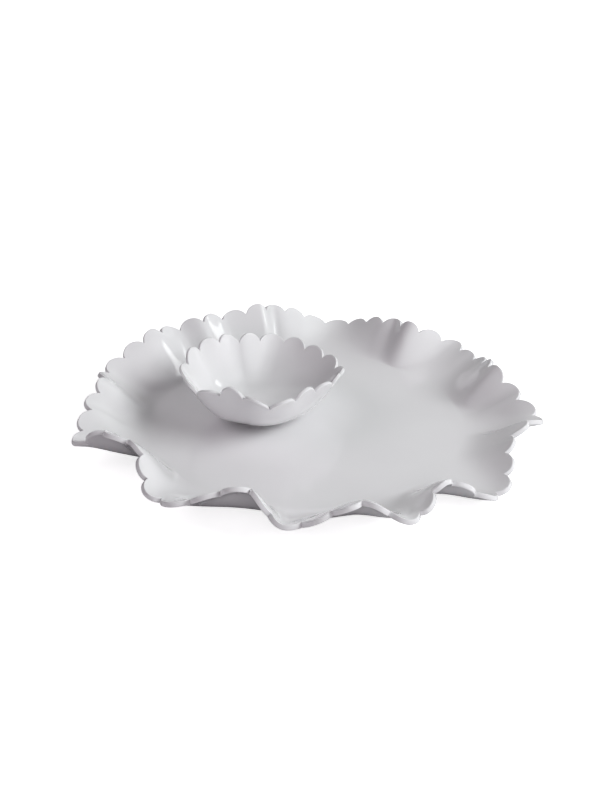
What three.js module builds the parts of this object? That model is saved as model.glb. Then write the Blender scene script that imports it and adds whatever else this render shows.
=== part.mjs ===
// Chip and dip server: a ruffled, scalloped platter with a matching dip bowl standing loose on it.
// Millimetres, +Z up, z = 0 at the bottom of the platter's foot.
import * as THREE from 'three';

// ---- Driving dimensions ----

const MELAMINE = { color: '#efecef', roughness: 0.16, metalness: 0 };

// Each piece is a dish: a flat floor, a wall that turns up at the knee, and a scalloped rim.
// waves lists the rim's crests and troughs once around as [angle in degrees, height, radius]. They are
// points of the notch line, which joins the notches between the scallops.
// The wall meets the rim at a slope that eases between the two listed in flare: a stretch that reaches
// far out lies flat there, and one that stays close in stands steep.
// The knee's radius is that of a rim at meanRadius, and follow is how much it shares in the waves.
const PLATTER = {
  name: 'platter',
  centre: [0, 0],
  seat: 0,
  thickness: 4.5,
  floorTop: 6,
  floorRadius: 141,
  wallRows: 6,
  meanRadius: 190,
  knee: { radius: 160, follow: 0.73 },
  flare: { radii: [173, 204], slopes: [45, 12.7], length: 18.6 },
  scallops: { count: 52, columns: 4, first: 200.7, reach: 8.2 },
  foot: { outer: 124, inner: 118, flare: 3, recess: 1.5 },
  waves: [
    [198, 23.5, 204.5], [206.5, 43.5, 186], [216.5, 42, 173.5], [234, 26, 197.5], [255, 44, 179.5],
    [265, 22.5, 191.5], [282.5, 44, 196], [292.5, 28.5, 205], [305, 36.5, 184], [320.5, 10, 199],
    [340.5, 22, 182.5], [348.5, 27, 191], [353.5, 21.5, 203.5], [365, 26, 188.5], [373.5, 38.5, 175.5],
    [394.5, 20.5, 190], [402, 20.5, 197.5], [413.5, 37.5, 169], [422, 31.5, 180.5], [442.5, 11, 208],
    [459.5, 35, 188], [465.5, 43, 174], [477, 39.5, 174], [487.5, 45.5, 168], [495.5, 40.5, 177],
    [505.5, 48, 175.5], [525.5, 33, 191], [535.5, 40, 182.5], [546.5, 33.5, 191.5],
  ],
};

const SEAT_GAP = 0.3;

const BOWL = {
  name: 'dip_bowl',
  centre: [-43, 21],
  seat: PLATTER.floorTop + SEAT_GAP,
  thickness: 3,
  floorTop: 5,
  floorRadius: 21,
  wallRows: 8,
  meanRadius: 67,
  knee: { radius: 46, follow: 0 },
  flare: { radii: [63, 75], slopes: [66, 46], length: 26 },
  scallops: { count: 18, columns: 6, first: 177, reach: 8.2 },
  foot: { outer: 24, inner: 20, flare: 1.5, recess: 2 },
  waves: [
    [161, 50, 62], [192, 43, 67], [220, 41, 67], [250, 49, 61], [279, 43, 72], [312, 45, 64],
    [344, 40, 68], [374, 33, 72], [406, 34, 72], [436, 35, 78], [469, 43, 61], [494, 50, 57],
  ],
};

const EDGE_ROUND = 0.9;
const RIM_SAMPLES = 2880;
const FULL_TURN = 2 * Math.PI;
const radians = THREE.MathUtils.degToRad;

// ---- The notch line, and where the scallops fall on it ----

// Height and radius of the notch line at an angle, eased from each crest or trough to the next.
function rimAt(dish, angle) {
  const waves = dish.waves;
  const start = radians(waves[0][0]);
  const turned = start + THREE.MathUtils.euclideanModulo(angle - start, FULL_TURN);
  let index = waves.length - 1;
  while (radians(waves[index][0]) > turned) {
    index -= 1;
  }
  const here = waves[index];
  const next = waves[(index + 1) % waves.length];
  const span = THREE.MathUtils.euclideanModulo(next[0] - here[0], 360);
  const along = (turned - radians(here[0])) / radians(span);
  const ease = 0.5 - 0.5 * Math.cos(Math.PI * along);
  return {
    height: THREE.MathUtils.lerp(here[1], next[1], ease),
    radius: THREE.MathUtils.lerp(here[2], next[2], ease),
  };
}

function rimPoint(dish, angle) {
  const rim = rimAt(dish, angle);
  return new THREE.Vector3(rim.radius * Math.cos(angle), rim.radius * Math.sin(angle), rim.height);
}

// Columns once around, evenly spaced along the notch line, so that every scallop has the same width.
// reach is how far the scallop's circular outline stands beyond the notch line at that column.
function scallopColumns(dish) {
  const { count, columns, first, reach } = dish.scallops;
  const total = count * columns;
  const start = radians(first);
  const lengths = [0];
  let previous = rimPoint(dish, start);
  for (let i = 1; i <= RIM_SAMPLES; i += 1) {
    const point = rimPoint(dish, start + (i / RIM_SAMPLES) * FULL_TURN);
    lengths.push(lengths[i - 1] + point.distanceTo(previous));
    previous = point;
  }
  const around = lengths[RIM_SAMPLES];
  const halfWidth = around / count / 2;
  const arcRadius = (halfWidth ** 2 + reach ** 2) / (2 * reach);
  const result = [];
  let sample = 0;
  for (let i = 0; i < total; i += 1) {
    const target = (i / total) * around;
    while (lengths[sample + 1] < target) {
      sample += 1;
    }
    const part = (target - lengths[sample]) / (lengths[sample + 1] - lengths[sample]);
    const across = (2 * ((i % columns) / columns) - 1) * halfWidth;
    const bulge = Math.sqrt(arcRadius ** 2 - across ** 2) - (arcRadius - reach);
    result.push({
      angle: start + ((sample + part) / RIM_SAMPLES) * FULL_TURN,
      reach: Math.max(bulge, 0),
    });
  }
  return result;
}

// ---- The dish's upper surface ----

// The wall's section at one angle: a Bezier curve that leaves the floor level, turns at the knee and
// ends on the notch line at the flare's slope.
function wallSection(dish, angle) {
  const rim = rimAt(dish, angle);
  const { radii, slopes, length } = dish.flare;
  const knee = dish.knee.radius + dish.knee.follow * (rim.radius - dish.meanRadius);
  const slope = radians(THREE.MathUtils.mapLinear(rim.radius, ...radii, ...slopes));
  return new THREE.CubicBezierCurve(
    new THREE.Vector2(dish.floorRadius, dish.floorTop),
    new THREE.Vector2(knee, dish.floorTop),
    new THREE.Vector2(rim.radius - length * Math.cos(slope), rim.height - length * Math.sin(slope)),
    new THREE.Vector2(rim.radius, rim.height),
  );
}

// A point of the upper surface: along is 0 at the floor's edge and 1 on the notch line, and past 1 the
// wall goes straight on, which makes the scallops.
function wallPoint(dish, angle, along) {
  const section = wallSection(dish, angle);
  const point = section.getPoint(Math.min(along, 1));
  if (along > 1) {
    point.addScaledVector(section.v3.clone().sub(section.v2), 3 * (along - 1));
  }
  return new THREE.Vector3(point.x * Math.cos(angle), point.x * Math.sin(angle), point.y);
}

function wallNormal(dish, angle, along) {
  const step = 0.002;
  const up = wallPoint(dish, angle, along + step).sub(wallPoint(dish, angle, along - step));
  const round = wallPoint(dish, angle + step, along).sub(wallPoint(dish, angle - step, along));
  return up.cross(round).normalize();
}

// ---- Rings of points, from the middle of the floor over the rim to the middle of the underside ----

function levelRing(columns, radius, height) {
  return columns.map(({ angle }) =>
    new THREE.Vector3(radius * Math.cos(angle), radius * Math.sin(angle), height));
}

// A ring of the wall at a share of each column's own height, trim short of its edge and depth below the
// upper surface.
function wallRing(dish, columns, share, trim, depth) {
  return columns.map(({ angle, reach }) => {
    const along = share * (1 + (reach - trim) / (3 * dish.flare.length));
    const point = wallPoint(dish, angle, along);
    return point.addScaledVector(wallNormal(dish, angle, along), -depth);
  });
}

function dishRings(dish) {
  const columns = scallopColumns(dish);
  const notches = columns.filter((_, index) => index % dish.scallops.columns === 0);
  const { thickness, floorTop, floorRadius, wallRows, foot } = dish;
  const rings = [
    levelRing(notches, floorRadius / 2, floorTop),
    levelRing(notches, floorRadius, floorTop),
  ];
  for (let row = 1; row < wallRows; row += 1) {
    rings.push(wallRing(dish, columns, row / wallRows, 0, 0));
  }
  rings.push(wallRing(dish, columns, 1, EDGE_ROUND, 0));
  rings.push(wallRing(dish, columns, 1, 0, EDGE_ROUND));
  rings.push(wallRing(dish, columns, 1, 0, thickness - EDGE_ROUND));
  rings.push(wallRing(dish, columns, 1, EDGE_ROUND, thickness));
  for (let row = wallRows - 1; row >= 1; row -= 1) {
    rings.push(wallRing(dish, columns, row / wallRows, 0, thickness));
  }
  rings.push(levelRing(notches, foot.outer + foot.flare, floorTop - thickness));
  rings.push(levelRing(notches, foot.outer, 0));
  rings.push(levelRing(notches, foot.inner, 0));
  rings.push(levelRing(notches, foot.inner - foot.flare, foot.recess));
  return rings;
}

// ---- Closing the rings into one solid ----

// Joins two rings with triangles. outer has as many points as inner, or a whole multiple of them.
function addStrip(triangles, outer, inner, flip) {
  const step = outer.length / inner.length;
  const turn = Math.floor(step / 2);
  const put = (a, b, c) => triangles.push(...(flip ? [a, c, b] : [a, b, c]));
  for (let i = 0; i < inner.length; i += 1) {
    const here = inner[i];
    const next = inner[(i + 1) % inner.length];
    for (let j = 0; j < step; j += 1) {
      const a = outer[i * step + j];
      const b = outer[(i * step + j + 1) % outer.length];
      if (j === turn) {
        put(here, a, next);
      }
      put(j < turn ? here : next, a, b);
    }
  }
}

function addFan(triangles, ring, middle, flip) {
  ring.forEach((point, index) => {
    const next = ring[(index + 1) % ring.length];
    triangles.push(...(flip ? [middle, next, point] : [middle, point, next]));
  });
}

function solidFromRings(rings, topMiddle, bottomMiddle) {
  const triangles = [];
  addFan(triangles, rings[0], topMiddle, false);
  for (let i = 1; i < rings.length; i += 1) {
    if (rings[i].length >= rings[i - 1].length) {
      addStrip(triangles, rings[i], rings[i - 1], false);
    } else {
      addStrip(triangles, rings[i - 1], rings[i], true);
    }
  }
  addFan(triangles, rings[rings.length - 1], bottomMiddle, true);
  const geometry = new THREE.BufferGeometry().setFromPoints(triangles);
  geometry.computeVertexNormals();
  return geometry;
}

function makeDish(dish) {
  const top = new THREE.Vector3(0, 0, dish.floorTop);
  const bottom = new THREE.Vector3(0, 0, dish.foot.recess);
  const geometry = solidFromRings(dishRings(dish), top, bottom);
  const mesh = new THREE.Mesh(geometry, new THREE.MeshStandardMaterial(MELAMINE));
  mesh.name = dish.name;
  mesh.position.set(dish.centre[0], dish.centre[1], dish.seat);
  return mesh;
}

// ---- The set, with the middle of its footprint over the origin ----

const server = new THREE.Group();
server.add(makeDish(PLATTER), makeDish(BOWL));
const bounds = new THREE.Box3().setFromObject(server, true);
const middle = bounds.getCenter(new THREE.Vector3());
server.position.set(-middle.x, -middle.y, 0);

export default server;
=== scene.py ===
"""Looks of the chip and dip server: two smooth glazed dishes, in metres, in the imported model's frame."""
import math

import bpy
import numpy as np
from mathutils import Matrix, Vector


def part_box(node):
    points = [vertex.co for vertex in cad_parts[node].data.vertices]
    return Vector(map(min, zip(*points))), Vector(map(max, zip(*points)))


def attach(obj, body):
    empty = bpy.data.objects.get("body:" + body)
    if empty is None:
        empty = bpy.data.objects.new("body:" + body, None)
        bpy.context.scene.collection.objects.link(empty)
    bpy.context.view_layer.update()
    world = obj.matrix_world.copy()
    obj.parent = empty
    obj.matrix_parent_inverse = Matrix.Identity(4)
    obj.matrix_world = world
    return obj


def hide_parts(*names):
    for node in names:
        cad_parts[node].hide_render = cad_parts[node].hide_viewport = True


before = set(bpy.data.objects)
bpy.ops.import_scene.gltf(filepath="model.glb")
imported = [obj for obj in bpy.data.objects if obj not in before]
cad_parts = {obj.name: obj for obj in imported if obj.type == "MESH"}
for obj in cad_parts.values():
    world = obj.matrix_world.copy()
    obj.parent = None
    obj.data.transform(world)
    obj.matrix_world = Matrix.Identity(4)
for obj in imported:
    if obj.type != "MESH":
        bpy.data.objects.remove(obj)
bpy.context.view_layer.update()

# ---- Dimensions, in millimetres, as in the CAD source ----

MM = 0.001
TURN = 2 * math.pi

# Each piece is a dish: a flat floor, a wall that turns up at the knee, and a scalloped rim.
# waves lists the rim's crests, troughs and the shoulders between them once around, as (angle in degrees,
# height, radius). They are points of the notch line, which joins the notches between the scallops.
PLATTER = {
    "thickness": 4.5,
    "floor_top": 6,
    "floor_radius": 141,
    "mean_radius": 190,
    "knee": {"radius": 160, "follow": 0.73},
    "flare": {"radii": (173, 204), "slopes": (45, 12.7), "length": 18.6},
    "scallops": {"count": 52, "first": 200.7, "reach": 8.2},
    "foot": {"outer": 124, "inner": 118, "flare": 3, "recess": 1.5},
    "columns": 16,
    "wall_rows": 36,
    "floor_rows": 10,
    "waves": (
        (198, 23.5, 204.5), (206.5, 43.5, 186), (216.5, 42, 173.5), (234, 26, 197.5), (255, 44, 179.5),
        (265, 22.5, 191.5), (282.5, 44, 196), (292.5, 28.5, 205), (305, 36.5, 184), (320.5, 10, 199),
        (340.5, 22, 182.5), (348.5, 27, 191), (353.5, 21.5, 203.5), (365, 26, 188.5),
        (373.5, 38.5, 175.5), (394.5, 20.5, 190), (402, 20.5, 197.5), (413.5, 37.5, 169),
        (422, 31.5, 180.5), (442.5, 11, 208), (459.5, 35, 188), (465.5, 43, 174), (477, 39.5, 174),
        (487.5, 45.5, 168), (495.5, 40.5, 177), (505.5, 48, 175.5), (525.5, 33, 191),
        (535.5, 40, 182.5), (546.5, 33.5, 191.5),
    ),
}

BOWL = {
    "thickness": 3,
    "floor_top": 5,
    "floor_radius": 21,
    "mean_radius": 67,
    "knee": {"radius": 46, "follow": 0},
    "flare": {"radii": (63, 75), "slopes": (66, 46), "length": 26},
    "scallops": {"count": 18, "first": 177, "reach": 8.2},
    "foot": {"outer": 24, "inner": 20, "flare": 1.5, "recess": 2},
    "columns": 20,
    "wall_rows": 40,
    "floor_rows": 5,
    "waves": (
        (161, 50, 62), (192, 43, 67), (220, 41, 67), (250, 49, 61), (279, 43, 72), (312, 45, 64),
        (344, 40, 68), (374, 33, 72), (406, 34, 72), (436, 35, 78), (469, 43, 61), (494, 50, 57),
    ),
}

EDGE_ROUND = 0.9
EDGE_STEPS = 4
FOOT_STEPS = 5
RIM_SAMPLES = 5760
FEWEST_IN_RING = 60
NORMAL_STEP = 0.002


# ---- The notch line, and where the scallops fall on it ----

def notch_line(dish, angles):
    """Heights and radii of the notch line, eased from each crest or trough to the next."""
    waves = np.array(dish["waves"], float)
    starts = np.radians(waves[:, 0])
    turned = starts[0] + np.mod(angles - starts[0], TURN)
    index = np.searchsorted(starts, turned, side="right") - 1
    following = (index + 1) % len(waves)
    span = np.mod(starts[following] - starts[index], TURN)
    ease = 0.5 - 0.5 * np.cos(math.pi * (turned - starts[index]) / span)
    heights = waves[index, 1] + (waves[following, 1] - waves[index, 1]) * ease
    radii = waves[index, 2] + (waves[following, 2] - waves[index, 2]) * ease
    return heights, radii


def scallop_columns(dish):
    """Angles of columns evenly spaced along the notch line, and how far the scallops reach at each."""
    scallops = dish["scallops"]
    per_scallop = dish["columns"]
    total = scallops["count"] * per_scallop
    angles = math.radians(scallops["first"]) + np.linspace(0, TURN, RIM_SAMPLES + 1)
    heights, radii = notch_line(dish, angles)
    line = np.stack([radii * np.cos(angles), radii * np.sin(angles), heights], axis=1)
    steps = np.linalg.norm(np.diff(line, axis=0), axis=1)
    lengths = np.concatenate([[0], np.cumsum(steps)])
    column_angles = np.interp(np.arange(total) / total * lengths[-1], lengths, angles)
    half_width = lengths[-1] / scallops["count"] / 2
    reach = scallops["reach"]
    arc_radius = (half_width ** 2 + reach ** 2) / (2 * reach)
    across = (2 * (np.arange(total) % per_scallop) / per_scallop - 1) * half_width
    bulge = np.sqrt(arc_radius ** 2 - across ** 2) - (arc_radius - reach)
    return column_angles, np.maximum(bulge, 0)


# ---- The dish's upper surface ----

def wall_points(dish, angles, along):
    """Points of the upper surface: along is 0 at the floor's edge and 1 on the notch line.

    The wall's section is a Bezier curve, and past its end it goes straight on, into the scallops.
    """
    heights, radii = notch_line(dish, angles)
    flare = dish["flare"]
    slopes = np.radians(flare["slopes"])
    share = (radii - flare["radii"][0]) / (flare["radii"][1] - flare["radii"][0])
    slope = slopes[0] + (slopes[1] - slopes[0]) * share
    knee = dish["knee"]["radius"] + dish["knee"]["follow"] * (radii - dish["mean_radius"])
    out = np.array([np.full_like(radii, dish["floor_radius"]), knee,
                    radii - flare["length"] * np.cos(slope), radii])
    up = np.array([np.full_like(radii, dish["floor_top"]), np.full_like(radii, dish["floor_top"]),
                   heights - flare["length"] * np.sin(slope), heights])
    t = np.minimum(along, 1)
    weights = np.array([(1 - t) ** 3, 3 * t * (1 - t) ** 2, 3 * t ** 2 * (1 - t), t ** 3])
    past = 3 * np.maximum(along - 1, 0)
    radius = (weights * out).sum(axis=0) + past * (out[3] - out[2])
    height = (weights * up).sum(axis=0) + past * (up[3] - up[2])
    return np.stack([radius * np.cos(angles), radius * np.sin(angles), height], axis=1)


def wall_normals(dish, angles, along):
    step = NORMAL_STEP
    rise = wall_points(dish, angles, along + step) - wall_points(dish, angles, along - step)
    sideways = wall_points(dish, angles + step, along) - wall_points(dish, angles - step, along)
    normals = np.cross(rise, sideways)
    return normals / np.linalg.norm(normals, axis=1, keepdims=True)


# ---- Rings of points, from the middle of the floor over the rim to the middle of the underside ----

def thinned(angles):
    """Every second angle, or all of them when few are left."""
    if len(angles) % 2 == 0 and len(angles) > FEWEST_IN_RING:
        return angles[::2]
    return angles


def level_ring(angles, radius, height):
    return np.stack([radius * np.cos(angles), radius * np.sin(angles),
                     np.full_like(angles, height)], axis=1)


def wall_ring(dish, angles, reaches, share, trim, depth):
    """The wall at a share of each column's own height, trim short of its edge, depth below the top."""
    along = share * (1 + (reaches - trim) / (3 * dish["flare"]["length"]))
    points = wall_points(dish, angles, along)
    return points - wall_normals(dish, angles, along) * depth


def floor_rings(dish, angles):
    """Rings of the flat floor, each with half as many points as the next until few are left."""
    rows = dish["floor_rows"]
    rings = []
    kept = angles
    for row in range(rows):
        rings.append(level_ring(kept, dish["floor_radius"] * (1 - row / rows), dish["floor_top"]))
        kept = thinned(kept)
    return rings[::-1]


def foot_rings(dish, angles):
    """The foot's rounded ring and the recess inside it."""
    foot = dish["foot"]
    top = dish["floor_top"] - dish["thickness"]
    shares = [step / FOOT_STEPS for step in range(FOOT_STEPS + 1)]
    rings = []
    kept = angles[::2]
    for share in shares:
        ease = 0.5 - 0.5 * math.cos(math.pi * share)
        rings.append(level_ring(kept, foot["outer"] + foot["flare"] * (1 - share), top * (1 - ease)))
    for share in shares:
        ease = 0.5 - 0.5 * math.cos(math.pi * share)
        rings.append(level_ring(kept, foot["inner"] - foot["flare"] * share, foot["recess"] * ease))
    radius = foot["inner"] - foot["flare"]
    rows = dish["floor_rows"]
    for row in range(1, rows):
        kept = thinned(kept)
        rings.append(level_ring(kept, radius * (1 - row / rows), foot["recess"]))
    return rings


def edge_rings(dish, angles, reaches):
    """The rim's edge: rounded over at the top and at the bottom, and flat between."""
    rings = []
    for step in range(EDGE_STEPS + 1):
        turn = math.pi / 2 * step / EDGE_STEPS
        trim = EDGE_ROUND * (1 - math.sin(turn))
        depth = EDGE_ROUND * (1 - math.cos(turn))
        rings.append(wall_ring(dish, angles, reaches, 1, trim, depth))
    for step in range(EDGE_STEPS + 1):
        turn = math.pi / 2 * step / EDGE_STEPS
        trim = EDGE_ROUND * (1 - math.cos(turn))
        depth = dish["thickness"] - EDGE_ROUND * (1 - math.sin(turn))
        rings.append(wall_ring(dish, angles, reaches, 1, trim, depth))
    return rings


def dish_rings(dish):
    """All rings, and the first and last of those that make the edge."""
    angles, reaches = scallop_columns(dish)
    rows = dish["wall_rows"]
    rings = floor_rings(dish, angles)
    for row in range(1, rows):
        rings.append(wall_ring(dish, angles, reaches, row / rows, 0, 0))
    first = len(rings)
    rings += edge_rings(dish, angles, reaches)
    last = len(rings) - 1
    for row in range(rows - 1, 0, -1):
        rings.append(wall_ring(dish, angles, reaches, row / rows, 0, dish["thickness"]))
    rings += foot_rings(dish, angles)
    return rings, first, last


# ---- Closing the rings into one mesh ----

def strip_faces(outer, outer_start, inner, inner_start):
    """Faces between two rings. outer has as many points as inner, or twice as many."""
    faces = []
    for i in range(inner):
        here = inner_start + i
        following = inner_start + (i + 1) % inner
        if outer == inner:
            faces.append((here, outer_start + i, outer_start + (i + 1) % outer, following))
        else:
            a = outer_start + 2 * i
            b = outer_start + 2 * i + 1
            c = outer_start + (2 * i + 2) % outer
            faces.append((here, a, b))
            faces.append((here, b, following))
            faces.append((following, b, c))
    return faces


def dish_faces(rings, top_middle, bottom_middle):
    starts = np.concatenate([[0], np.cumsum([len(ring) for ring in rings])]).astype(int).tolist()
    faces = [(top_middle, starts[0] + i, starts[0] + (i + 1) % len(rings[0]))
             for i in range(len(rings[0]))]
    for k in range(1, len(rings)):
        now, before = len(rings[k]), len(rings[k - 1])
        if now >= before:
            faces += strip_faces(now, starts[k], before, starts[k - 1])
        else:
            faces += [face[::-1] for face in strip_faces(before, starts[k - 1], now, starts[k])]
    last = len(rings) - 1
    faces += [(bottom_middle, starts[last] + (i + 1) % len(rings[last]), starts[last] + i)
              for i in range(len(rings[last]))]
    return faces, starts


def make_dish(dish, name, offset):
    """One dish as a closed mesh, moved by offset so that it lies exactly on its CAD node."""
    rings, first, last = dish_rings(dish)
    points = np.concatenate(rings + [[(0, 0, dish["floor_top"]), (0, 0, dish["foot"]["recess"])]])
    count = len(points)
    faces, starts = dish_faces(rings, count - 2, count - 1)
    mesh = bpy.data.meshes.new(name)
    mesh.from_pydata((points * MM + np.array(offset)).tolist(), [], faces)
    mesh.shade_smooth()
    sharpen_notches(mesh, dish, starts, first, last)
    piece = bpy.data.objects.new(name, mesh)
    bpy.context.scene.collection.objects.link(piece)
    return piece


def sharpen_notches(mesh, dish, starts, first, last):
    """Keeps the crease of the edge at each notch crisp under smooth shading."""
    creases = set()
    for k in range(first, last):
        for notch in range(dish["scallops"]["count"]):
            column = notch * dish["columns"]
            creases.add((starts[k] + column, starts[k + 1] + column))
    sharp = mesh.attributes.new("sharp_edge", "BOOLEAN", "EDGE")
    for edge in mesh.edges:
        pair = tuple(sorted(edge.vertices))
        sharp.data[edge.index].value = pair in creases


def offset_onto(dish, node):
    """How far the dish's own middle stands from the frame's origin, found from the CAD node's box."""
    angles, reaches = scallop_columns(dish)
    rims = [wall_ring(dish, angles, reaches, 1, 0, depth)
            for depth in (EDGE_ROUND, dish["thickness"] - EDGE_ROUND)]
    rim = np.concatenate(rims) * MM
    low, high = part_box(node)
    middle = (rim.min(axis=0) + rim.max(axis=0)) / 2
    return ((low.x + high.x) / 2 - middle[0], (low.y + high.y) / 2 - middle[1], low.z)


# ---- Materials ----

WHITE_GLAZE = (0.857, 0.857, 0.866)
CLOUD_TINT = (0.975, 0.97, 0.975)
GLOSS_ROUGHNESS = (0.12, 0.22)
SKIN_SWELL = 0.0002


def glazed_melamine(name, color):
    """Glossy moulded melamine: a faint cloudiness in the colour and gloss, and a slightly wavy skin."""
    material = bpy.data.materials.new(name)
    material.use_nodes = True
    nodes = material.node_tree.nodes
    links = material.node_tree.links
    shader = nodes["Principled BSDF"]
    shader.inputs["IOR"].default_value = 1.5
    shader.inputs["Coat Weight"].default_value = 1
    shader.inputs["Coat Roughness"].default_value = 0.05
    place = nodes.new("ShaderNodeTexCoord")

    cloud = nodes.new("ShaderNodeTexNoise")
    cloud.inputs["Scale"].default_value = 14
    cloud.inputs["Detail"].default_value = 3
    links.new(place.outputs["Object"], cloud.inputs["Vector"])
    tint = nodes.new("ShaderNodeValToRGB")
    tint.color_ramp.elements[0].position = 0.3
    clouded = [channel * share for channel, share in zip(color, CLOUD_TINT)]
    tint.color_ramp.elements[0].color = (*clouded, 1)
    tint.color_ramp.elements[1].position = 0.7
    tint.color_ramp.elements[1].color = (*color, 1)
    links.new(cloud.outputs["Fac"], tint.inputs["Fac"])
    links.new(tint.outputs["Color"], shader.inputs["Base Color"])

    rub = nodes.new("ShaderNodeTexNoise")
    rub.inputs["Scale"].default_value = 60
    rub.inputs["Detail"].default_value = 4
    links.new(place.outputs["Object"], rub.inputs["Vector"])
    gloss = nodes.new("ShaderNodeMapRange")
    gloss.inputs["To Min"].default_value = GLOSS_ROUGHNESS[0]
    gloss.inputs["To Max"].default_value = GLOSS_ROUGHNESS[1]
    links.new(rub.outputs["Fac"], gloss.inputs["Value"])
    links.new(gloss.outputs["Result"], shader.inputs["Roughness"])

    swell = nodes.new("ShaderNodeTexNoise")
    swell.inputs["Scale"].default_value = 22
    swell.inputs["Detail"].default_value = 1
    links.new(place.outputs["Object"], swell.inputs["Vector"])
    skin = nodes.new("ShaderNodeBump")
    skin.inputs["Strength"].default_value = 1
    skin.inputs["Distance"].default_value = SKIN_SWELL
    links.new(swell.outputs["Fac"], skin.inputs["Height"])
    links.new(skin.outputs["Normal"], shader.inputs["Normal"])
    return material


def plain_material(name, color, glow):
    """A matt stage surface that also gives off a steady light of its own."""
    material = bpy.data.materials.new(name)
    material.use_nodes = True
    shader = material.node_tree.nodes["Principled BSDF"]
    shader.inputs["Base Color"].default_value = (*color, 1)
    shader.inputs["Roughness"].default_value = 0.9
    shader.inputs["Specular IOR Level"].default_value = 0.1
    shader.inputs["Emission Color"].default_value = (1, 1, 1, 1)
    shader.inputs["Emission Strength"].default_value = glow
    return material


# ---- The set ----

def dress(piece, node, body, material):
    piece.data.materials.append(material)
    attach(piece, body)
    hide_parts(node)


platter_middle = offset_onto(PLATTER, "platter")
platter_shell = make_dish(PLATTER, "platter_shell", platter_middle)
dress(platter_shell, "platter", "platter",
      glazed_melamine("platter_melamine_look", WHITE_GLAZE))
bowl_shell = make_dish(BOWL, "dip_bowl_shell", offset_onto(BOWL, "dip_bowl"))
dress(bowl_shell, "dip_bowl", "dip_bowl",
      glazed_melamine("bowl_melamine_look", WHITE_GLAZE))


# ---- Studio ----

LIGHT_DISTANCE = 2.5
KEY_TINT = (0.98, 1, 0.998)
FILL_TINT = (1, 0.92, 0.98)
TABLE_SIZE = 20
SWEEP_SIZE = 3
SWEEP_LIFT = 0.0002
CAMERA_TILT = math.radians(28)
CAMERA_DISTANCE = 1.2
CAMERA_LENS = 56.64
CAMERA_AIM = Vector((-0.0064, 0.0548, 0))


def stage_plane(name, size, height, material):
    mesh = bpy.data.meshes.new(name)
    corners = [(-size, -size, height), (size, -size, height), (size, size, height), (-size, size, height)]
    mesh.from_pydata(corners, [], [(0, 1, 2, 3)])
    mesh.materials.append(material)
    plane = bpy.data.objects.new(name, mesh)
    bpy.context.scene.collection.objects.link(plane)
    return plane


def make_floor():
    """A pale table that lights the set from below, under a white sweep that only the camera sees."""
    table = stage_plane("studio_table", TABLE_SIZE, 0, plain_material("studio_table", (0.62, 0.62, 0.63), 0))
    table.visible_camera = False
    sweep = stage_plane("studio_sweep", SWEEP_SIZE, SWEEP_LIFT,
                        plain_material("studio_sweep", (0.9, 0.9, 0.9), 0.75))
    sweep.visible_diffuse = False
    sweep.visible_glossy = False
    sweep.visible_shadow = False


def softbox(name, azimuth, elevation, size, power, tint, mirrored):
    """A rectangular light aimed at the set. Azimuth 0 is +X and 90 is +Y; mirrored shows it in the gloss."""
    light = bpy.data.lights.new(name, "AREA")
    light.shape = "RECTANGLE"
    light.size, light.size_y = size
    light.energy = power
    light.color = tint
    lamp = bpy.data.objects.new(name, light)
    turn, rise = math.radians(azimuth), math.radians(elevation)
    away = Vector((math.cos(turn) * math.cos(rise), math.sin(turn) * math.cos(rise), math.sin(rise)))
    lamp.location = away * LIGHT_DISTANCE
    lamp.rotation_euler = away.to_track_quat("Z", "Y").to_euler()
    lamp.visible_glossy = mirrored
    bpy.context.scene.collection.objects.link(lamp)


def make_world():
    """A white backdrop beyond the floor. It lights nothing and shows in no reflection."""
    world = bpy.data.worlds.new("studio")
    bpy.context.scene.world = world
    world.use_nodes = True
    background = world.node_tree.nodes["Background"]
    background.inputs["Color"].default_value = (1, 1, 1, 1)
    background.inputs["Strength"].default_value = 1
    world.cycles_visibility.diffuse = False
    world.cycles_visibility.glossy = False


def make_camera(middle):
    """A long lens from the front, looking down at a point a little behind the middle."""
    aim = Vector(middle) + CAMERA_AIM
    data = bpy.data.cameras.new("camera")
    data.lens = CAMERA_LENS
    camera = bpy.data.objects.new("camera", data)
    back = Vector((0, -math.cos(CAMERA_TILT), math.sin(CAMERA_TILT)))
    camera.location = aim + back * CAMERA_DISTANCE
    camera.rotation_euler = (math.pi / 2 - CAMERA_TILT, 0, 0)
    bpy.context.scene.collection.objects.link(camera)
    bpy.context.scene.camera = camera


make_floor()
make_world()
softbox("key", -14, 36, (1.4, 1.4), 52, KEY_TINT, False)
softbox("window", 20, 24, (0.5, 0.6), 2.6, KEY_TINT, True)
softbox("side", 28, 17, (2.4, 1.4), 11, KEY_TINT, False)
softbox("back", 90, 28, (4.5, 2.6), 15, KEY_TINT, True)
softbox("fill", 180, 40, (1.8, 1.4), 16, FILL_TINT, False)
softbox("front", -80, 18, (2.0, 1.2), 15, FILL_TINT, False)
bpy.context.scene.view_settings.view_transform = "Standard"
make_camera(platter_middle)
